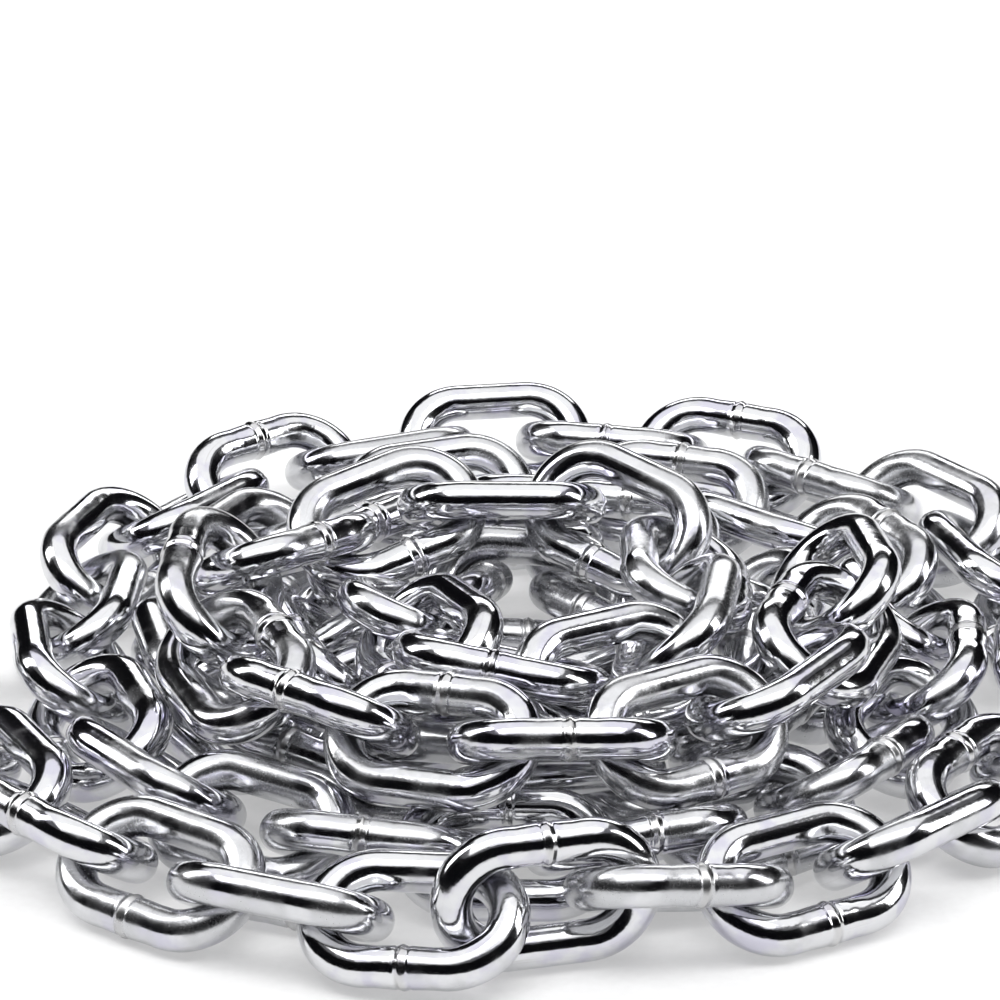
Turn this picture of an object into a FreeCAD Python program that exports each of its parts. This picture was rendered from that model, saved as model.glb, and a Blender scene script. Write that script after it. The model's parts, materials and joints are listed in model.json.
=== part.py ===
"""A coil of short-link welded anchor chain, laid down in two layers on a flat deck.

The chain starts at its outer end, winds inwards along the deck in whole turns, climbs in the
middle, and winds outwards again on top to its top end. Every link is a bent and butt-welded
wire ring through its two neighbours. The links are first hung along that line, and then let
down until they rest on the deck and on each other. The outer turn is drawn a little tighter
than the rest, and has one extra quarter turn in it, which stands one of its links on its side.

Each link of the outer and top turns is a node of its own, because it can still be moved. The
links between them are pinned, so they are kept a few to a node.

Frame: millimetres, +Z up, the deck at Z = 0, the origin at the middle of the coil's footprint.
"""

import FreeCAD, Part
import math
import os
import random

from FreeCAD import Vector

# The link: 8 mm wire, the short-link proportions of general-purpose anchor chain
WIRE = 8.0
INSIDE_LENGTH = 28.0
INSIDE_WIDTH = 12.7
WELD_DIAMETER = 8.9
WELD_LENGTH = 3.0

# The coil: radii of the chain's line, how far apart neighbouring turns are laid, and where the
# first link lies, in degrees. A turn runs round for a share of a circle, then steps inwards.
OUTER_RADIUS = 119.0
MIDDLE_RADIUS = 24.0
TOP_RADIUS = 72.0
TURN_SPACING = 27.0
TOP_SPACING = 27.0
FIRST_BEARING = 179.5
STEP_START = 0.62
DECK_LINE = 12.0
TOP_LINE = 44.0
TOP_OFFSET_X = 0.0
TOP_OFFSET_Y = -16.0
CLIMB_LENGTH = 80.0

# The extra quarter turn in the outer turn: which link stands on its side, and how far, in
# degrees, its two neighbours are turned from it
TWISTED_LINK = 7
TWIST_SHARE = 62.0
LINE_STEP = 1.0

DECK_TURNS = ("outer_turn", "second_turn", "third_turn", "inner_turn")
LOOSE_TURNS = ("outer_turn", "top_turn")
LINKS_TO_A_NODE = 5

# Laying the chain: how much shorter than taut each pitch is, and how far links stray at random,
# in degrees of lean. A link that leans astray also lies astray, by a share of that in mm.
SLACK = 1.5
OUTER_SLACK = 0.8
USUAL_LEAN = 45.0
DECK_SCATTER = 16.0
TOP_SCATTER = 30.0
STRAY_SHARE = 1 / 12
SEED = 6

# Letting the chain down: the gap kept between wires, and how far it sinks in how many passes
CLEARANCE = 0.75
FALL_STEP = 0.12
FALLING_PASSES = 270
PARTING_PASSES = 160
PASSES_TO_A_LOOK = 10
NEAR_WIRE = WIRE + 2.0
LOOK_AHEAD = 4.0

# How deep the foot of the weld bead lies under the wire's surface
BEAD_FOOT = 0.3
TINY = 1e-9

# Worked out from the above
BEND_RADIUS = (INSIDE_WIDTH + WIRE) / 2
HALF_STRAIGHT = (INSIDE_LENGTH - INSIDE_WIDTH) / 2
OUTSIDE_LENGTH = INSIDE_LENGTH + 2 * WIRE
LAID_PITCH = INSIDE_LENGTH - SLACK
OUTER_PITCH = INSIDE_LENGTH - OUTER_SLACK
OUTER_STEPS = 2 * math.pi * OUTER_RADIUS / LINE_STEP
SPIN = BEND_RADIUS**2 + HALF_STRAIGHT**2


class Link:
    """Where one link lies: the middle of its eye, and the directions along and across it."""

    def __init__(self, turn, centre, along, across):
        self.turn = turn
        self.centre = centre
        self.along = along
        self.across = across
        self.square_up()

    def square_up(self):
        """Makes the two directions unit length and square to each other again."""
        self.along = self.along.normalize()
        self.across = (self.across - self.along * self.across.dot(self.along)).normalize()

    def shift(self, step, turn):
        """Moves the link by a small step and turns it by a small rotation vector."""
        self.centre = self.centre + step
        self.along = self.along + turn.cross(self.along)
        self.across = self.across + turn.cross(self.across)

    def at(self, along, across):
        """The point that lies so far along and across the link from the middle of its eye."""
        return self.centre + self.along * along + self.across * across

    def placement(self):
        normal = self.along.cross(self.across)
        turned = FreeCAD.Rotation(self.along, self.across, normal, "ZXY")
        return FreeCAD.Placement(self.centre, turned)


def wire_outline(count=16):
    """Points round a link's wire centreline, as (along, across) pairs."""
    points = []
    for step in range(count):
        angle = 2 * math.pi * (step + 0.5) / count
        core = math.copysign(HALF_STRAIGHT, math.cos(angle))
        points.append((core + BEND_RADIUS * math.cos(angle), BEND_RADIUS * math.sin(angle)))
    points.append((0.0, BEND_RADIUS))
    points.append((0.0, -BEND_RADIUS))
    return points


OUTLINE = wire_outline()


def nearest_on_wire(link, point):
    """The point of a link's wire centreline nearest to a point, and the wire's radius there."""
    offset = point - link.centre
    along = offset.dot(link.along)
    across = offset.dot(link.across)
    core = max(-HALF_STRAIGHT, min(HALF_STRAIGHT, along))
    grow = BEND_RADIUS / (math.hypot(along - core, across) or TINY)
    at_weld = across > 0 and abs(along) < WELD_LENGTH
    radius = WELD_DIAMETER / 2 if at_weld else WIRE / 2
    return link.at(core + (along - core) * grow, across * grow), radius


def push_apart(link, spot, other, touch, wanted):
    """Moves and turns two links until the two points are the wanted distance apart."""
    apart = spot - touch
    distance = apart.Length
    if distance >= wanted:
        return
    way = apart / (distance or TINY)
    lever = (spot - link.centre).cross(way)
    other_lever = (touch - other.centre).cross(way)
    ease = 2 + (lever.dot(lever) + other_lever.dot(other_lever)) / SPIN
    share = (wanted - distance) / ease
    link.shift(way * share, lever * (share / SPIN))
    other.shift(way * -share, other_lever * (-share / SPIN))


def keep_clear(link, other):
    """Parts two links wherever their wires come closer than the clearance."""
    for one, two in ((link, other), (other, link)):
        for along, across in OUTLINE:
            spot = one.at(along, across)
            touch, two_radius = nearest_on_wire(two, spot)
            if (spot - touch).Length < NEAR_WIRE:
                spot, one_radius = nearest_on_wire(one, touch)
                push_apart(one, spot, two, touch, one_radius + two_radius + CLEARANCE)


def lift_off_deck(link):
    """Raises the low side of each end of a link that has sunk into the deck."""
    steepness = math.hypot(link.along.z, link.across.z) or TINY
    reach = -BEND_RADIUS / steepness
    for end in (-HALF_STRAIGHT, HALF_STRAIGHT):
        low = link.at(end + reach * link.along.z, reach * link.across.z)
        sunk = WIRE / 2 - low.z
        if sunk > 0:
            lever = (low - link.centre).cross(Vector(0, 0, 1))
            share = sunk / (1 + lever.dot(lever) / SPIN)
            link.shift(Vector(0, 0, share), lever * (share / SPIN))


def near_pairs(links):
    """The pairs of links close enough to touch in the next few passes."""
    reach = OUTSIDE_LENGTH + LOOK_AHEAD
    return [
        (links[i], links[j])
        for i in range(len(links))
        for j in range(i + 1, len(links))
        if (links[i].centre - links[j].centre).Length < reach
    ]


def settle(links, passes, fall):
    """Lets the links sink by a small step in each pass, and parts what would overlap."""
    for count in range(passes):
        if count % PASSES_TO_A_LOOK == 0:
            pairs = near_pairs(links)
        for link in links:
            link.centre = link.centre + Vector(0, 0, -fall)
        for link, other in pairs:
            keep_clear(link, other)
        for link in links:
            lift_off_deck(link)
            link.square_up()


def deck_line():
    """The chain's line along the deck: whole turns, each ending in a short step inwards."""
    points = []
    turned = 0.0
    radius = OUTER_RADIUS
    while radius > MIDDLE_RADIUS:
        bearing = math.radians(FIRST_BEARING) + turned
        points.append(Vector(radius * math.cos(bearing), radius * math.sin(bearing), DECK_LINE))
        turned += LINE_STEP / radius
        whole, rest = divmod(turned / (2 * math.pi), 1)
        step_in = max(0.0, (rest - STEP_START) / (1 - STEP_START))
        radius = OUTER_RADIUS - TURN_SPACING * (whole + step_in)
    return points


def top_line(start):
    """The chain's line on top: up from the last point on the deck, then winding outwards."""
    points = []
    radius = MIDDLE_RADIUS
    bearing = math.atan2(start.y, start.x)
    while radius < TOP_RADIUS:
        bearing += LINE_STEP / radius
        radius += TOP_SPACING * LINE_STEP / radius / (2 * math.pi)
        risen = min(1.0, len(points) * LINE_STEP / CLIMB_LENGTH)
        middle = Vector(TOP_OFFSET_X * risen, TOP_OFFSET_Y * risen, DECK_LINE)
        height = (TOP_LINE - DECK_LINE) * risen
        points.append(middle + Vector(radius * math.cos(bearing), radius * math.sin(bearing), height))
    return points


def every_pitch(line):
    """The points of a line that lie one laid pitch apart, which is longer in the outer turn."""
    points = [line[0]]
    for count, point in enumerate(line):
        pitch = OUTER_PITCH if count < OUTER_STEPS else LAID_PITCH
        if (point - points[-1]).Length >= pitch:
            points.append(point)
    return points


def spread(link, way):
    """The lowest and highest reach of a link's wire along a direction."""
    round_the_ends = BEND_RADIUS * math.hypot(link.along.dot(way), link.across.dot(way))
    reach = HALF_STRAIGHT * abs(link.along.dot(way)) + round_the_ends + WIRE / 2
    return link.centre.dot(way) - reach, link.centre.dot(way) + reach


def centre_on_origin(links):
    """Moves the whole coil so that the middle of its footprint is at the origin."""
    for way in (Vector(1, 0, 0), Vector(0, 1, 0)):
        spreads = [spread(link, way) for link in links]
        middle = (min(low for low, _ in spreads) + max(high for _, high in spreads)) / 2
        for link in links:
            link.centre = link.centre - way * middle


def turn_names(line):
    """The turn of the coil that each point of a line belongs to."""
    names = []
    turned = 0.0
    for count, point in enumerate(line):
        before = line[max(count - 1, 0)]
        turned += before.getAngle(Vector(point.x, point.y, before.z))
        on_deck = DECK_TURNS[min(int(turned / (2 * math.pi)), len(DECK_TURNS) - 1)]
        names.append("top_turn" if point.z > DECK_LINE else on_deck)
    return names


def usual_lean(count):
    """How far a link leans up from flat, in degrees: a quarter turn over from the one before.

    Three links in the outer turn share one quarter turn more than that, and the middle one of
    them stands on its side.
    """
    past_twist = count - TWISTED_LINK
    if abs(past_twist) <= 1:
        return -90.0 - TWIST_SHARE * past_twist
    quarter_turns = count + (past_twist > 0)
    return USUAL_LEAN if quarter_turns % 2 else -USUAL_LEAN


def laid_links():
    """The links as they hang along the line, each a quarter turn over from the one before."""
    scatter = random.Random(SEED)
    deck = deck_line()
    line = every_pitch(deck + top_line(deck[-1]))
    links = []
    for count, (turn, centre) in enumerate(zip(turn_names(line), line)):
        before = line[max(count - 1, 0)]
        after = line[min(count + 1, len(line) - 1)]
        along = (after - before).normalize()
        outward = along.cross(Vector(0, 0, 1)).normalize()
        upward = outward.cross(along)
        loose = TOP_SCATTER if turn == "top_turn" else DECK_SCATTER
        lean = math.radians(usual_lean(count) + scatter.uniform(-1, 1) * loose)
        side = scatter.choice((-1, 1))
        across = (outward * math.cos(lean) + upward * math.sin(lean)) * side
        stray = outward * (scatter.uniform(-1, 1) * loose * STRAY_SHARE)
        links.append(Link(turn, centre + stray, along, across))
    return links


def round_bar(centre, direction, length):
    """A straight piece of wire, centred on a point."""
    return Part.makeCylinder(WIRE / 2, length, centre - direction * (length / 2), direction)


def bend(end):
    """The half-round bend of wire at one end of a link, +1 or -1 along it."""
    middle = Vector(end * HALF_STRAIGHT, 0, 0)
    section = Part.makeCircle(WIRE / 2, middle + Vector(0, -end * BEND_RADIUS, 0), Vector(1, 0, 0))
    return Part.Face(Part.Wire(section)).revolve(middle, Vector(0, 0, 1), 180)


def weld_bead():
    """The raised bead that the butt weld leaves round the middle of one side."""
    side = Vector(0, BEND_RADIUS, 0)
    foot = WIRE / 2 - BEAD_FOOT
    start = side + Vector(-WELD_LENGTH / 2, foot, 0)
    crest = side + Vector(0, WELD_DIAMETER / 2, 0)
    end = side + Vector(WELD_LENGTH / 2, foot, 0)
    edges = [
        Part.Arc(start, crest, end).toShape(),
        Part.makeLine(end, side + Vector(WELD_LENGTH / 2, 0, 0)),
        Part.makeLine(side + Vector(WELD_LENGTH / 2, 0, 0), side + Vector(-WELD_LENGTH / 2, 0, 0)),
        Part.makeLine(side + Vector(-WELD_LENGTH / 2, 0, 0), start),
    ]
    return Part.Face(Part.Wire(edges)).revolve(side, Vector(1, 0, 0), 360)


def link_solid():
    """One link in its own frame: X along it, Y across it, its weld in the middle of the +Y side."""
    sides = [
        round_bar(Vector(0, side * BEND_RADIUS, 0), Vector(1, 0, 0), 2 * HALF_STRAIGHT)
        for side in (-1, 1)
    ]
    whole = bend(1).fuse([bend(-1), *sides, weld_bead()]).removeSplitter()
    return whole.Solids[0]


def coiled_links():
    """The links as they lie in the finished coil, from the outer end to the top end."""
    links = laid_links()
    print(len(links), "links laid")
    settle(links, FALLING_PASSES, FALL_STEP)
    settle(links, PARTING_PASSES, 0.0)
    centre_on_origin(links)
    return links


def nodes_of(links):
    """The links by node name: one to a node in the loose turns, a few to a node in the others."""
    nodes = {}
    for turn in dict.fromkeys(link.turn for link in links):
        members = [link for link in links if link.turn == turn]
        size = 1 if turn in LOOSE_TURNS else LINKS_TO_A_NODE
        word = "link" if size == 1 else "links"
        for start in range(0, len(members), size):
            nodes[f"{turn}_{word}_{start // size + 1:02d}"] = members[start : start + size]
    return nodes


def main():
    shape = link_solid()
    nodes = nodes_of(coiled_links())
    print("one link:", round(shape.Volume), "mm3, valid:", shape.isValid())
    os.makedirs("parts", exist_ok=True)
    for name, links in nodes.items():
        solids = []
        for link in links:
            solids.append(shape.copy())
            solids[-1].Placement = link.placement()
        node = solids[0] if len(solids) == 1 else Part.makeCompound(solids)
        node.exportStep(f"parts/{name}.step")
    print(len(nodes), "nodes:", ", ".join(nodes))


if __name__ == "__main__":
    main()
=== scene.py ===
# %% [markdown]
# # A coil of welded anchor chain
#
# The object is a few metres of bright zinc-plated steel chain, the kind that lies between an
# anchor and its rope, coiled down in two layers on a flat floor.
# A chain has only one kind of piece, the link. So this lesson makes one link really well, and
# then does it again for every link, each time with its own weld, dents and shade of plate.
# The CAD model comes first. It is the fixed frame: it says where each link lies and which link
# moves with which joint, and nothing here moves or resizes it.

# %% Load the frame
import json
import math

import bpy
import numpy as np
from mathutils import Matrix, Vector

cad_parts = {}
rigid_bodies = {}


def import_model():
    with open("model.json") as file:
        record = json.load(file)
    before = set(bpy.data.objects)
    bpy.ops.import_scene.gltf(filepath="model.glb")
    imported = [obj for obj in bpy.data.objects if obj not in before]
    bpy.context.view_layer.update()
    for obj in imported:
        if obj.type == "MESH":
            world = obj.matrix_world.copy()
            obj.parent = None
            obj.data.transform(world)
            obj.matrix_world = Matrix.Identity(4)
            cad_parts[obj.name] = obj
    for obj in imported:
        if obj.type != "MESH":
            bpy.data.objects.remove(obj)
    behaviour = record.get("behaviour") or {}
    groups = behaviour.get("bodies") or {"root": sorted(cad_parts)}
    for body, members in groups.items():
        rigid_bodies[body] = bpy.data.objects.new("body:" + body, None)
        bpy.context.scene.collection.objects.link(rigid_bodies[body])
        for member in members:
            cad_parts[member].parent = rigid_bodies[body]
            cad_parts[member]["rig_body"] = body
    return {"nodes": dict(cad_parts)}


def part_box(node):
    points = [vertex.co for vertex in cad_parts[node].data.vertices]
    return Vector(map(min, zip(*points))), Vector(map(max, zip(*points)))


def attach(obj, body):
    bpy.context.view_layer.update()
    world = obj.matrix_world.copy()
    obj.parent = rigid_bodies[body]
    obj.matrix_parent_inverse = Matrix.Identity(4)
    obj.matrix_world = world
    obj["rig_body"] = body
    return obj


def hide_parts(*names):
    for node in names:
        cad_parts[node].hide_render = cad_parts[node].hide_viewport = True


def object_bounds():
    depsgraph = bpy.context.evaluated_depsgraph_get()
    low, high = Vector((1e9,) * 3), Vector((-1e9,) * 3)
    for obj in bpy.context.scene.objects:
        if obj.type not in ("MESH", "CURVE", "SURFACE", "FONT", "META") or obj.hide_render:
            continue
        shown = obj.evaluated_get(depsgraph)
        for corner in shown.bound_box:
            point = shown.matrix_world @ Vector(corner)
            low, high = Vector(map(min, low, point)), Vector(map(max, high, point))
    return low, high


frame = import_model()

CAD_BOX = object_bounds()

# %% [markdown]
# ## What a chain maker measures
#
# A chain is ordered by its wire and by the inside of its link.
# Everything else follows from those three sizes: the radius that the middle of the wire is bent
# to, the length of the straight sides, and the length of wire in one link.
# Blender works in metres, so a millimetre gets a name of its own.

# %% Sizes of one link
MM = 0.001
WIRE = 8 * MM
INSIDE_LENGTH = 28 * MM
INSIDE_WIDTH = 12.7 * MM

BEND_RADIUS = (INSIDE_WIDTH + WIRE) / 2
HALF_STRAIGHT = (INSIDE_LENGTH - INSIDE_WIDTH) / 2
HALF_ROUND = math.pi * BEND_RADIUS
WIRE_LENGTH = 4 * HALF_STRAIGHT + 2 * HALF_ROUND
OUTSIDE_WIDTH = INSIDE_WIDTH + 2 * WIRE
print(f"one link takes {WIRE_LENGTH / MM:.1f} mm of {WIRE / MM:.0f} mm wire")

# %% [markdown]
# ## Finding each link in the CAD model
#
# A CAD node here is either one link or a handful of separate ones that share a node.
# The triangles of one solid are all connected. So the solids are told apart by giving each
# corner a number, and passing the lowest number along every triangle until nothing changes.
# Selecting linked faces in edit mode does the same, but by hand and one solid at a time.

# %% Tell the solids of a node apart
def triangles_of(node):
    """The places of a CAD node's corners, and the three corners of each of its triangles."""
    mesh = node.data
    mesh.calc_loop_triangles()
    corners = np.empty(len(mesh.loop_triangles) * 3, int)
    mesh.loop_triangles.foreach_get("vertices", corners)
    places = np.empty(len(mesh.vertices) * 3)
    mesh.vertices.foreach_get("co", places)
    places, same = np.unique(places.reshape(-1, 3), axis=0, return_inverse=True)
    return places, same.reshape(-1)[corners].reshape(-1, 3)


def separate_solids(node):
    """The triangles of each separate solid in a node, in the order in which the CAD made them."""
    places, corners = triangles_of(node)
    number = np.arange(len(places))
    changed = True
    while changed:
        before = number.copy()
        lowest = np.broadcast_to(number[corners].min(axis=1)[:, None], corners.shape)
        np.minimum.at(number, corners, lowest)
        number = number[number]
        changed = not np.array_equal(before, number)
    owner = number[corners[:, 0]]
    _, first = np.unique(owner, return_index=True)
    return [places[corners[owner == owner[start]]] for start in sorted(first)]


# %% [markdown]
# ## How a link lies
#
# How a solid lies can be read from how its volume is spread. A link spreads furthest along
# itself, less across itself, and least through its eye, so the three main directions of that
# spread are the link's own axes.
# The weld bead stands proud on one side, and that tells the two sides apart.

# %% Measure how a link lies
def volume_spread(triangles):
    """The middle of a closed surface's volume, and how the volume spreads about it."""
    volumes = np.linalg.det(triangles) / 6
    middle = (volumes[:, None] * triangles.sum(axis=1)).sum(axis=0) / (4 * volumes.sum())
    about = triangles - middle
    shares = np.linalg.det(about) / 120
    total = about.sum(axis=1)
    spread = np.einsum("n,nij,nik->jk", shares, about, about)
    return middle, spread + np.einsum("n,nj,nk->jk", shares, total, total)


def lie_of(triangles):
    """The middle of a link's eye, and its directions along, across to the weld, and through."""
    origin = triangles.mean(axis=(0, 1))
    offset, spread = volume_spread(triangles - origin)
    middle = origin + offset
    points = (triangles - middle).reshape(-1, 3)
    _, main_directions = np.linalg.eigh(spread)
    along, across = main_directions[:, 2], main_directions[:, 1]
    if (points @ across).max() < -(points @ across).min():
        across = -across
    through = np.cross(along, across)
    middle = middle + across * ((points @ across).min() + OUTSIDE_WIDTH / 2)
    for way in (along, through):
        reach = points @ way
        middle = middle + way * ((reach.min() + reach.max()) / 2)
    return middle, np.array([along, across, through])


links = []
for node_name, node in frame["nodes"].items():
    for solid in separate_solids(node):
        links.append({"node": node_name, "body": node["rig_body"], "lie": lie_of(solid)})
print(len(links), "links found, the first at", np.round(links[0]["lie"][0] / MM, 1), "mm")

# %% [markdown]
# ## The line that the wire follows
#
# A link starts as a straight piece of wire, cut to length and bent round until its ends meet in
# the middle of one side, where they are welded. So every place on a link has two numbers, how
# far along the wire it is from the weld, and how far round the wire.
# A curve object with a round bevel would make the same tube. Working the places out with
# formulas takes little more code, and lets the weld, the bends and the dents change the
# wire's radius wherever they need to.

# %% The middle of the wire
def centreline(distance):
    """The middle of the wire and its outward direction, so far round the link from the weld."""
    first_bend = np.clip(distance - HALF_STRAIGHT, 0, HALF_ROUND)
    second_bend = np.clip(distance - 3 * HALF_STRAIGHT - HALF_ROUND, 0, HALF_ROUND)
    turned = (first_bend + second_bend) / BEND_RADIUS
    outward = np.stack([np.sin(turned), np.cos(turned), np.zeros_like(turned)], axis=-1)
    along = np.clip(distance, 0, HALF_STRAIGHT)
    along = along - np.clip(distance - HALF_STRAIGHT - HALF_ROUND, 0, 2 * HALF_STRAIGHT)
    along = along + np.clip(distance - 3 * HALF_STRAIGHT - 2 * HALF_ROUND, 0, HALF_STRAIGHT)
    middle = BEND_RADIUS * outward
    middle[..., 0] += along
    return middle, outward


def bend_share(distance):
    """How far into a bend each place is: 0 on the straight sides, 1 at the crown of a bend."""
    outward = centreline(distance)[1]
    return outward[..., 0] ** 2


print("the crown of the first bend is at", np.round(centreline(WIRE_LENGTH / 4)[0] / MM, 2), "mm")

# %% [markdown]
# ## The weld
#
# Chain like this is resistance welded. Two electrodes grip the wire, a current melts its ends,
# and a press pushes them together. That leaves a low swelling, a thin collar of squeezed-out
# steel with a shallow trimmed groove on each side of it, often one burr that the trimmer
# missed, and two faint seats where the electrodes gripped.
# All of it is height added to the wire's radius, so it shows in the outline as well as in the
# shading. It stays below the bead that the CAD allows.

# %% Weld sizes
BEAD_LIMIT = 0.43 * MM
SWELLING_HEIGHT, SWELLING_REACH = 0.17 * MM, 2.0 * MM
COLLAR_HEIGHT, COLLAR_REACH = 0.25 * MM, 0.42 * MM
GROOVE_DEPTH, GROOVE_REACH, GROOVE_PLACE = 0.17 * MM, 0.34 * MM, 1.15 * MM
BURR_HEIGHT, BURR_REACH, BURR_ANGLE = 0.24 * MM, 0.5 * MM, 0.32
SEAT_DEPTH, SEAT_REACH, SEAT_PLACE = 0.07 * MM, 1.2 * MM, 5.4 * MM
WANDER_SLOW, WANDER_QUICK = 0.22, 0.1
COLLAR_MEAN, COLLAR_SLOW, COLLAR_QUICK = 0.8, 0.22, 0.15
FULL_TURN = 2 * math.pi


def hump(distance, reach):
    """A smooth hump, 1 in the middle and nearly 0 beyond twice its reach."""
    return np.exp(-((distance / reach) ** 2))


def angle_between(around, angle):
    """How far apart two directions round the wire are, the short way round."""
    return np.abs((around - angle + math.pi) % FULL_TURN - math.pi)


def weld_height(from_weld, around, chance):
    """How far the weld raises the wire's surface."""
    phases = chance.uniform(0, FULL_TURN, 5)
    wander = WANDER_SLOW * np.sin(around + phases[0])
    wander = wander + WANDER_QUICK * np.sin(3 * around + phases[1])
    off_line = from_weld - wander * MM
    slow, quick = np.sin(2 * around + phases[2]), np.sin(5 * around + phases[3])
    uneven = COLLAR_MEAN + COLLAR_SLOW * slow + COLLAR_QUICK * quick
    height = SWELLING_HEIGHT * hump(from_weld, SWELLING_REACH)
    height = height + COLLAR_HEIGHT * uneven * hump(off_line, COLLAR_REACH)
    height = height - GROOVE_DEPTH * hump(np.abs(off_line) - GROOVE_PLACE, GROOVE_REACH)
    height = height - SEAT_DEPTH * hump(np.abs(from_weld) - SEAT_PLACE, SEAT_REACH)
    burr = hump(off_line, BURR_REACH) * hump(angle_between(around, phases[4]), BURR_ANGLE)
    return np.minimum(height + BURR_HEIGHT * burr, BEAD_LIMIT)


middle_of_weld = weld_height(np.zeros(8), np.arange(8) * FULL_TURN / 8, np.random.default_rng(0))
print("a collar stands", np.round(middle_of_weld.mean() / MM, 2), "mm proud of the wire")

# %% [markdown]
# ## The wire's shape in the bends, and its dents
#
# Bending squeezes the wire on the inside of a bend and stretches it on the outside, and the
# neighbouring link has hammered a shallow seat into the inside of each crown.
# Finished chain is tumbled and shipped in a drum, so each link has picked up small dents.
# Real dents are worth more than bump alone, because bright metal shows them as kinks in its
# reflections. They are only hundredths of a millimetre deep.

# %% Bends and dents
SEAT_WORN, OUTSIDE_STRETCH, SIDE_SWELL = 0.11 * MM, 0.06 * MM, 0.05 * MM
WAVE_HEIGHT, WAVES_A_LINK = 0.022 * MM, (2, 5, 9)
DENTS = 16
DENT_REACHES, DENT_DEPTHS = (0.5, 1.7), (0.015, 0.055)


def bend_height(share, around):
    """What bending and wear do to the radius: worn inside, flatter outside, fuller at the sides."""
    inside = np.clip(-np.cos(around), 0, 1) ** 2
    outside = np.clip(np.cos(around), 0, 1) ** 4
    sides = np.sin(around) ** 2
    return share * (SIDE_SWELL * sides - SEAT_WORN * share * inside - OUTSIDE_STRETCH * outside)


def dents(distance, around, chance):
    """Small dents scattered over the link, and a slow wave that no drawn wire is free of."""
    height = np.zeros_like(distance)
    for _ in range(DENTS):
        place, angle = chance.uniform(0, WIRE_LENGTH), chance.uniform(0, FULL_TURN)
        reach, depth = chance.uniform(*DENT_REACHES) * MM, chance.uniform(*DENT_DEPTHS) * MM
        off = np.hypot(distance - place, WIRE / 2 * angle_between(around, angle))
        height -= depth * hump(off, reach)
    for rounds in WAVES_A_LINK:
        phases = chance.uniform(0, FULL_TURN, 2)
        wave = np.sin(FULL_TURN * rounds * distance / WIRE_LENGTH + phases[0])
        height += WAVE_HEIGHT / rounds * 2 * wave * np.cos(around + phases[1])
    return height


print(DENTS, "dents to a link, the deepest", DENT_DEPTHS[1], "mm")

# %% [markdown]
# ## One link as a mesh
#
# The mesh is a grid of rings, one after the other round the link, and joined up at the end.
# The rings stand close together at the weld, where the shape is fine, and further apart on the
# plain wire. A subdivided tube would need as many faces everywhere as it needs at the weld.

# %% Rings and sides
SIDES = 32
FINE_STEP, PLAIN_STEP, FINE_REACH = 0.16 * MM, 0.8 * MM, 3.0 * MM


def ring_distances():
    """How far from the weld each ring of the mesh stands."""
    fine = np.arange(0, FINE_REACH, FINE_STEP)
    count = round((WIRE_LENGTH - 2 * FINE_REACH) / PLAIN_STEP)
    plain = np.linspace(FINE_REACH, WIRE_LENGTH - FINE_REACH, count)
    return np.concatenate([fine, plain, WIRE_LENGTH - fine[:0:-1]])


RINGS = ring_distances()
AROUND = np.arange(SIDES) * FULL_TURN / SIDES
print(len(RINGS), "rings of", SIDES, "sides")

# %% [markdown]
# Four neighbouring places make a face. After the last ring comes the first one again, and after
# the last side the first side, so the tube closes on itself and has no seam.
# The skin of the wire can also be unrolled flat, which gives each face its place on a UV map.
# All links share the same faces, so the lists are made once.

# %% Faces, the same for every link
def link_faces():
    """The corners of each face, and where each corner lies on a flat map of the wire's skin."""
    ring, side = np.meshgrid(np.arange(len(RINGS)), np.arange(SIDES), indexing="ij")
    steps = ((0, 0), (0, 1), (1, 1), (1, 0))
    corners = [(ring + r) % len(RINGS) * SIDES + (side + s) % SIDES for r, s in steps]
    lengths = np.append(RINGS, WIRE_LENGTH) / WIRE_LENGTH
    flat_map = [np.stack([lengths[ring + r], (side + s) / SIDES], axis=-1) for r, s in steps]
    return np.stack(corners, axis=-1).reshape(-1, 4), np.stack(flat_map, axis=2).reshape(-1, 2)


FACES, FLAT_MAP = link_faces()
print(len(FACES), "faces to a link")

# %% [markdown]
# ## Building a link
#
# The wire's radius at each place is its nominal radius plus what the weld, the bends and the
# dents add. The places are worked out in the link's own axes and then turned to lie as the CAD
# link does.
# Each place on the mesh also keeps the facts that the finish needs later, as attributes: its
# place on the link, its place on the straight wire before bending, how far it is from the weld,
# how worn it is. Painting these by hand would have to be done again for every link.

# %% Build a link
PATTERN_SPREAD = 500


def keep_fact(mesh, name, kind, values):
    """Stores one value or vector for each point of a mesh, for the material to read."""
    attribute = mesh.attributes.new(name, kind, "POINT")
    field = "vector" if kind == "FLOAT_VECTOR" else "value"
    attribute.data.foreach_set(field, np.asarray(values, np.float32).ravel())


def shift_of(chance):
    """A random step through the patterns, so that no two links show the same patches."""
    return chance.uniform(-PATTERN_SPREAD, PATTERN_SPREAD, 3)


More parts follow.
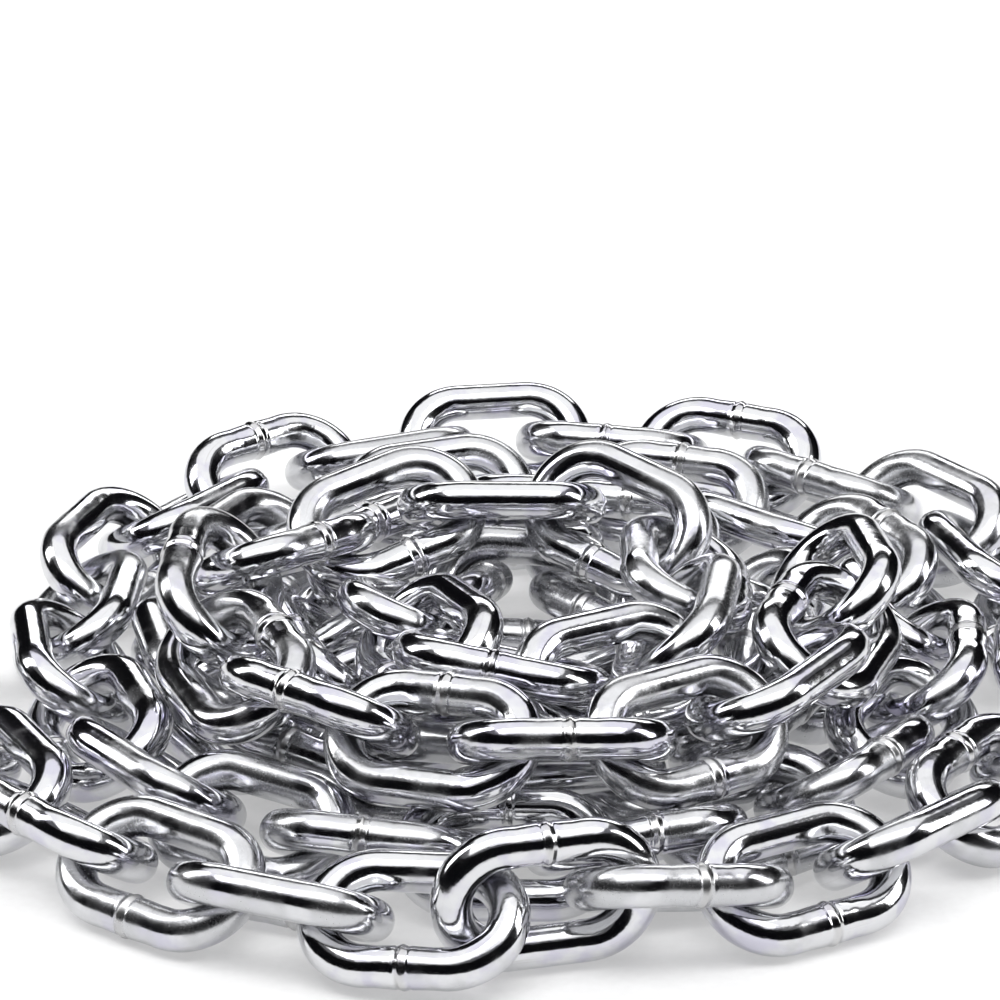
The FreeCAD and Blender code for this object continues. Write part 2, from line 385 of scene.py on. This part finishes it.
def link_mesh(name, lie, chance):
    """The finished shape of one link, lying where the CAD says."""
    distance, around = np.meshgrid(RINGS, AROUND, indexing="ij")
    from_weld = (distance + WIRE_LENGTH / 2) % WIRE_LENGTH - WIRE_LENGTH / 2
    share = bend_share(distance)
    radius = WIRE / 2 + weld_height(from_weld, around, chance)
    radius = radius + bend_height(share, around) + dents(distance, around, chance)
    middle, outward = centreline(distance)
    through = np.array([0.0, 0.0, 1.0])
    way = np.cos(around)[..., None] * outward + np.sin(around)[..., None] * through
    own_places = (middle + radius[..., None] * way).reshape(-1, 3)
    eye, directions = lie
    mesh = bpy.data.meshes.new(name)
    mesh.from_pydata((eye + own_places @ directions).tolist(), [], FACES.tolist())
    mesh.polygons.foreach_set("use_smooth", np.ones(len(FACES), bool))
    mesh.uv_layers.new(name="OFBake").uv.foreach_set("vector", FLAT_MAP.astype(np.float32).ravel())
    keep_fact(mesh, "link_place", "FLOAT_VECTOR", own_places / MM + shift_of(chance))
    rolled_out = np.stack([distance, WIRE / 2 * np.cos(around), WIRE / 2 * np.sin(around)], axis=-1)
    keep_fact(mesh, "drawn_place", "FLOAT_VECTOR", rolled_out / MM + shift_of(chance))
    keep_fact(mesh, "from_weld", "FLOAT", np.abs(from_weld) / MM)
    keep_fact(mesh, "seat_wear", "FLOAT", share**2 * np.clip(-np.cos(around), 0, 1) ** 2)
    keep_fact(mesh, "shade_of_link", "FLOAT", np.full(distance.shape, chance.uniform(0, 1)))
    mesh.update()
    return mesh


# %% [markdown]
# ## Wiring a material in code
#
# A material is a net of small nodes. It can be wired by hand in the shader editor, but code is
# easier to read again and to change. These helpers keep it short: they add a node, read a fact
# that the mesh keeps, give soft speckles of a wanted size, stretch a pattern, turn it into the
# range of values that a socket needs, add values up, and mix two colours.

# %% Helpers for nodes
def add(tree, kind, **settings):
    """A new node with its settings."""
    node = tree.nodes.new(kind)
    for name, value in settings.items():
        setattr(node, name, value)
    return node


def fact(tree, name, output="Fac"):
    """What the mesh keeps under a name: a number from Fac, or a place from Vector."""
    return add(tree, "ShaderNodeAttribute", attribute_name=name).outputs[output]


def speckle(tree, place, size, detail=2.0):
    """Soft random speckles about so many millimetres across."""
    noise = add(tree, "ShaderNodeTexNoise")
    noise.inputs["Scale"].default_value = 1 / size
    noise.inputs["Detail"].default_value = detail
    tree.links.new(place, noise.inputs["Vector"])
    return noise.outputs["Fac"]


def scaled(tree, place, scale):
    """A place stretched by so much along each axis."""
    stretch = add(tree, "ShaderNodeVectorMath", operation="MULTIPLY")
    tree.links.new(place, stretch.inputs[0])
    stretch.inputs[1].default_value = scale
    return stretch.outputs["Vector"]


def graded(tree, value, low, high, start, end):
    """A smooth change from start, where the value is low, to end, where it is high."""
    grade = add(tree, "ShaderNodeMapRange", interpolation_type="SMOOTHSTEP")
    tree.links.new(value, grade.inputs["Value"])
    for name, number in (("From Min", low), ("From Max", high), ("To Min", start), ("To Max", end)):
        grade.inputs[name].default_value = number
    return grade.outputs["Result"]


def sum_of(tree, *values):
    """Several values added up."""
    total = values[0]
    for value in values[1:]:
        plus = add(tree, "ShaderNodeMath", operation="ADD")
        tree.links.new(total, plus.inputs[0])
        tree.links.new(value, plus.inputs[1])
        total = plus.outputs[0]
    return total


def tinted(tree, share, colour, other):
    """A colour that turns into another one by a share from 0 to 1. Each may be a socket."""
    mix = add(tree, "ShaderNodeMix", data_type="RGBA")
    tree.links.new(share, mix.inputs["Factor"])
    for socket, source in ((mix.inputs[6], colour), (mix.inputs[7], other)):
        if isinstance(source, tuple):
            socket.default_value = (*source, 1.0)
        else:
            tree.links.new(source, socket)
    return mix.outputs[2]


print("Blender", bpy.app.version_string, "is ready to wire materials")

# %% [markdown]
# ## The bright zinc plate
#
# Zinc plate is a thin layer of blue-white metal with a clear passivation over it. It is
# nearly a mirror where it is fresh, and a soft satin grey where it has bloomed or rubbed on its
# neighbours. So the finish is fully metallic, its colour wanders between white, violet grey and
# dull grey, and most of the work is in the roughness.
# Drawing the wire through a die leaves fine lines along it. The weld has burnt the zinc duller
# in a narrow band, and the crowns are polished where links ride on each other.
# One flat metal colour would be quicker, and it would look like plastic chrome.
# Each pattern uses the link's own millimetres, so it stays on the link when the link moves.
# A grade below is four numbers: where a pattern starts to count, where it counts in full, and
# the share of the new colour at each of the two.

# %% Zinc colours
FRESH_ZINC = (0.67, 0.675, 0.69)
VIOLET_ZINC = (0.55, 0.54, 0.63)
BLOOMED_ZINC = (0.54, 0.545, 0.56)
BURNT_ZINC = (0.42, 0.41, 0.39)
POLISHED_ZINC = (0.72, 0.72, 0.72)
VIOLET_PATCH, VIOLET_GRADE = 7.0, (0.46, 0.66, 0.0, 0.85)
DRAWN_LINE, LINE_GRADE = 0.5, (0.58, 0.80, 0.0, 0.30)
BURNT_GRADE = (0.3, 1.5, 0.35, 0.0)
POLISHED_GRADE = (0.2, 0.9, 0.0, 0.7)


def zinc_colour(tree, link_place, drawn_place, bloom):
    """Fresh, violet and bloomed patches, dark drawing lines, a burnt weld and polished seats."""
    violet = graded(tree, speckle(tree, link_place, VIOLET_PATCH, 3.0), *VIOLET_GRADE)
    colour = tinted(tree, violet, FRESH_ZINC, VIOLET_ZINC)
    colour = tinted(tree, bloom, colour, BLOOMED_ZINC)
    lines = graded(tree, speckle(tree, drawn_place, DRAWN_LINE, 3.0), *LINE_GRADE)
    colour = tinted(tree, lines, colour, BURNT_ZINC)
    burnt = graded(tree, fact(tree, "from_weld"), *BURNT_GRADE)
    colour = tinted(tree, burnt, colour, BURNT_ZINC)
    polished = graded(tree, fact(tree, "seat_wear"), *POLISHED_GRADE)
    return tinted(tree, polished, colour, POLISHED_ZINC)


print("fresh zinc gives back", FRESH_ZINC, "of red, green and blue light")

# %% [markdown]
# ## Gloss and relief
#
# Roughness says how wide a highlight is spread, and a bump tilts the surface a very little so
# that the highlight breaks up. Both could come from painted maps. Patterns made from noise have
# no edges or seams, and are sharp at any distance.
# The bumps are chained from coarse to fine: the slow unevenness of plate, then the drawing
# lines, then the zinc crystals. The first is a twentieth of a millimetre deep and the others a
# few thousandths, because bright plate with more than that looks like cast metal.

# %% Gloss and relief of the plate
FRESH_GLOSS, BLOOMED_GLOSS = 0.11, 0.25
GRAIN, GRAIN_GRADE = 0.45, (0.3, 0.75, -0.01, 0.03)
WELD_GRADE = (0.3, 1.8, 0.05, 0.0)
UNEVENNESS, UNEVEN_DEPTH = 2.6, 0.055 * MM
FINE_LINE, LINE_DEPTH = 0.42, 0.008 * MM
CRYSTAL, CRYSTAL_DEPTH = 0.30, 0.0025 * MM


def zinc_roughness(tree, link_place, bloom):
    """Glossy where fresh, satin where bloomed, rougher at the weld, with a fine crystal grain."""
    satin = graded(tree, bloom, 0.0, 1.0, FRESH_GLOSS, BLOOMED_GLOSS)
    grain = graded(tree, speckle(tree, link_place, GRAIN, 3.0), *GRAIN_GRADE)
    weld = graded(tree, fact(tree, "from_weld"), *WELD_GRADE)
    return sum_of(tree, satin, grain, weld)


def zinc_relief(tree, link_place, drawn_place):
    """Drawing lines, zinc crystals and the slow unevenness of plate, as bump in metres."""
    lines = speckle(tree, drawn_place, FINE_LINE, 2.0)
    crystals = speckle(tree, link_place, CRYSTAL, 3.0)
    uneven = speckle(tree, link_place, UNEVENNESS, 2.0)
    reliefs = ((uneven, UNEVEN_DEPTH), (lines, LINE_DEPTH), (crystals, CRYSTAL_DEPTH))
    normal = None
    for height, depth in reliefs:
        bump = add(tree, "ShaderNodeBump")
        bump.inputs["Strength"].default_value = 1.0
        bump.inputs["Distance"].default_value = depth
        tree.links.new(height, bump.inputs["Height"])
        if normal is not None:
            tree.links.new(normal, bump.inputs["Normal"])
        normal = bump.outputs["Normal"]
    return normal


print("deepest relief", UNEVEN_DEPTH / MM, "mm")

# %% [markdown]
# ## One material for all links
#
# Large soft blotches say where the plate has bloomed. Each link's own shade shifts them a
# little, so one link is nearly all bright and the next one mostly satin, as in a real heap,
# though they share one material. A material for each link would do the same with more work.

# %% Make the plate
BLOTCH, BLOOM_GRADE = 11.0, (0.44, 0.66, 0.0, 1.0)
SHADE_SHIFT = 0.10
LINES_STRETCHED = (0.04, 1.0, 1.0)


def zinc_plate():
    """The finish of every link."""
    plate = bpy.data.materials.new("bright_zinc_plate")
    plate.use_nodes = True
    tree = plate.node_tree
    shader = tree.nodes["Principled BSDF"]
    shader.inputs["Metallic"].default_value = 1.0
    link_place = fact(tree, "link_place", "Vector")
    drawn_place = scaled(tree, fact(tree, "drawn_place", "Vector"), LINES_STRETCHED)
    blotches = speckle(tree, link_place, BLOTCH, 4.0)
    shade = graded(tree, fact(tree, "shade_of_link"), 0.0, 1.0, -SHADE_SHIFT, SHADE_SHIFT)
    bloom = graded(tree, sum_of(tree, blotches, shade), *BLOOM_GRADE)
    tree.links.new(zinc_colour(tree, link_place, drawn_place, bloom), shader.inputs["Base Color"])
    tree.links.new(zinc_roughness(tree, link_place, bloom), shader.inputs["Roughness"])
    tree.links.new(zinc_relief(tree, link_place, drawn_place), shader.inputs["Normal"])
    return plate


ZINC = zinc_plate()
print("the plate has", len(ZINC.node_tree.nodes), "nodes")

# %% [markdown]
# ## Every link in its place
#
# Each link becomes an object of its own, named for its turn of the coil and its number there.
# It rides on the CAD body of its solid, so that it moves with that body's joint, and it stands
# for the CAD node, which keeps its work in the motion tests but isn't shown, hidden.
# The chance numbers start from the link's own number, so each run gives the same chain.

# %% Place the links
counts = {}
for number, link in enumerate(links):
    turn = link["node"].split("_link")[0]
    counts[turn] = counts.get(turn, 0) + 1
    name = f"plated_{turn}_link_{counts[turn]:02d}"
    mesh = link_mesh(name, link["lie"], np.random.default_rng(number + 1))
    mesh.materials.append(ZINC)
    piece = bpy.data.objects.new(name, mesh)
    bpy.context.scene.collection.objects.link(piece)
    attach(piece, link["body"])
    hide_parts(link["node"])
print("links in each turn:", counts)

# %% [markdown]
# ## Floor
#
# A product picture stands on a plain white sweep. The floor is matte, with a very faint paper
# grain, and gives off a little light of its own, as a lit acrylic table does. That keeps the
# shadows soft and open, and gives the underside of each bar its even pale grey.

# %% Lay the floor
FLOOR_SIZE = 12.0
FLOOR_DROP = 0.1 * MM
DARKER_PAPER, PALER_PAPER = (0.58, 0.58, 0.58), (0.61, 0.61, 0.61)
FIBRE, FIBRE_SHADES, FIBRE_GLOSS = 2.0, (0.3, 0.7, 0.0, 1.0), (0.3, 0.7, 0.72, 0.86)
TO_MM = (1000.0, 1000.0, 1000.0)
OWN_LIGHT = 0.36


def floor_paper():
    """Matte white paper that gives off a little light."""
    paper = bpy.data.materials.new("white_floor")
    paper.use_nodes = True
    tree = paper.node_tree
    shader = tree.nodes["Principled BSDF"]
    place = add(tree, "ShaderNodeTexCoord").outputs["Object"]
    grain = speckle(tree, scaled(tree, place, TO_MM), FIBRE, 3.0)
    shade = graded(tree, grain, *FIBRE_SHADES)
    colour = tinted(tree, shade, DARKER_PAPER, PALER_PAPER)
    tree.links.new(colour, shader.inputs["Base Color"])
    tree.links.new(graded(tree, grain, *FIBRE_GLOSS), shader.inputs["Roughness"])
    shader.inputs["Specular IOR Level"].default_value = 0.2
    shader.inputs["Emission Color"].default_value = (1.0, 1.0, 1.0, 1.0)
    shader.inputs["Emission Strength"].default_value = OWN_LIGHT
    return paper


def flat_panel(name, width, depth):
    """A flat rectangle facing up, with its middle at its own origin."""
    mesh = bpy.data.meshes.new(name)
    x, y = width / 2, depth / 2
    mesh.from_pydata([(-x, -y, 0), (x, -y, 0), (x, y, 0), (-x, y, 0)], [], [(0, 1, 2, 3)])
    panel = bpy.data.objects.new(name, mesh)
    bpy.context.scene.collection.objects.link(panel)
    return panel


floor = flat_panel("floor", FLOOR_SIZE, FLOOR_SIZE)
floor.location.z = CAD_BOX[0].z - FLOOR_DROP
floor.data.materials.append(floor_paper())
print("floor at", round(floor.location.z / MM, 2), "mm")

# %% [markdown]
# ## Light for bright metal
#
# Bright metal has hardly any colour of its own: it shows what stands round it. So the lights
# are placed for their reflections first. One very large, gentle box overhead gives each bar its
# broad white band, a brighter strip inside it gives that band a hot middle, and smaller boxes at
# the sides and back light the bars that point the other way.
# An environment picture would also do it, but then the bands fall where the picture has them.

# %% Soft boxes
def aim(thing, target):
    """Turns a lamp or the camera to look at a point."""
    thing.rotation_euler = (target - thing.location).to_track_quat("-Z", "Y").to_euler()


def soft_box(name, place, size, power):
    """A rectangular lamp that looks at the middle of the coil."""
    lamp = bpy.data.lights.new(name, "AREA")
    lamp.shape = "RECTANGLE"
    lamp.size, lamp.size_y = size
    lamp.energy = power
    box = bpy.data.objects.new(name, lamp)
    box.location = place
    aim(box, Vector((0, 0, 0)))
    bpy.context.scene.collection.objects.link(box)


SOFT_BOXES = (
    ("overhead_box", (0.0, 0.0, 1.05), (1.4, 1.6), 8.5),
    ("bright_strip", (0.0, -0.30, 1.0), (1.2, 0.40), 5.5),
    ("left_box", (-1.0, 0.25, 0.75), (0.35, 0.9), 6),
    ("right_box", (1.05, -0.1, 0.60), (0.30, 0.8), 5),
    ("back_box", (0.15, 1.1, 0.55), (1.0, 0.28), 3),
)
for box_name, box_place, box_size, watts in SOFT_BOXES:
    soft_box(box_name, box_place, box_size, watts)
print("soft boxes:", sum(watts for *_, watts in SOFT_BOXES), "W in all")

# %% [markdown]
# ## Black cards and a grey room
#
# A bar that reflects only white looks flat. A photographer stands black cards low down, just out
# of view, and they draw the dark line that gives a round bar its shape.
# The card here is a ring about the coil, so that the links look right from every side. Only
# reflections see it: it throws no shadow and the camera looks straight through it.
# Above the card the room is a dim grey, so that nothing between the boxes is quite black.

# %% Dark ring and room
RING_RADIUS, RING_FOOT, RING_TOP = 1.3, 0.02, 1.20
RING_STEPS = 64
CARD_BLACK = (0.003, 0.003, 0.004, 1)
ROOM_GREY, ROOM_STRENGTH = (0.95, 0.95, 1.0, 1.0), 0.14


def dark_ring():
    """An upright black band round the coil, open above and below."""
    points = []
    for step in range(RING_STEPS):
        angle = FULL_TURN * step / RING_STEPS
        for height in (RING_FOOT, RING_TOP):
            points.append((RING_RADIUS * math.cos(angle), RING_RADIUS * math.sin(angle), height))
    count = len(points)
    faces = [(i, (i + 2) % count, (i + 3) % count, i + 1) for i in range(0, count, 2)]
    mesh = bpy.data.meshes.new("black_cards")
    mesh.from_pydata(points, [], faces)
    ring = bpy.data.objects.new("black_cards", mesh)
    bpy.context.scene.collection.objects.link(ring)
    black = bpy.data.materials.new("black_card")
    black.use_nodes = True
    shader = black.node_tree.nodes["Principled BSDF"]
    shader.inputs["Base Color"].default_value = CARD_BLACK
    shader.inputs["Specular IOR Level"].default_value = 0.0
    mesh.materials.append(black)
    ring.visible_camera = False
    ring.visible_shadow = False
    ring.visible_diffuse = False
    print("black card of", len(mesh.polygons), "faces,", RING_TOP, "m high")


dark_ring()
room = bpy.data.worlds.new("pale_grey_room")
room.use_nodes = True
background = room.node_tree.nodes["Background"]
background.inputs["Color"].default_value = ROOM_GREY
background.inputs["Strength"].default_value = ROOM_STRENGTH
bpy.context.scene.world = room
bpy.context.scene.view_settings.view_transform = "Standard"

# %% [markdown]
# ## Camera
#
# The camera stands one metre from the coil and looks down at it at a shallow angle, through a
# long lens, so that the near links are hardly larger than the far ones. It is close enough
# that the outer turn runs out of view at the left and right. The coil sits low in the picture,
# so the camera looks at a point a little above and beyond its middle.

# %% Place the camera
LOOK_DOWN = math.radians(26.9)
STAND_OFF = 1.0
LENS, SENSOR = 176.0, 36.0
AIM_RIGHT, AIM_UP = 2.4 * MM, 42.2 * MM


def outer_turn_middle():
    """The middle of the outer turn, from the boxes of its nodes."""
    boxes = [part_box(name) for name in frame["nodes"] if name.startswith("outer_turn")]
    low = [min(box[0][axis] for box in boxes) for axis in range(3)]
    high = [max(box[1][axis] for box in boxes) for axis in range(3)]
    return (Vector(low) + Vector(high)) / 2


coil_middle = outer_turn_middle()
coil_middle.z = CAD_BOX[0].z
ahead = Vector((0, math.cos(LOOK_DOWN), -math.sin(LOOK_DOWN)))
up = Vector((0, math.sin(LOOK_DOWN), math.cos(LOOK_DOWN)))
camera_data = bpy.data.cameras.new("camera")
camera_data.lens = LENS
camera_data.sensor_width = SENSOR
camera = bpy.data.objects.new("camera", camera_data)
camera.location = coil_middle - ahead * STAND_OFF
aim(camera, coil_middle + Vector((AIM_RIGHT, 0, 0)) + up * AIM_UP)
bpy.context.scene.collection.objects.link(camera)
bpy.context.scene.camera = camera
print("camera at", [round(x, 3) for x in camera.location])
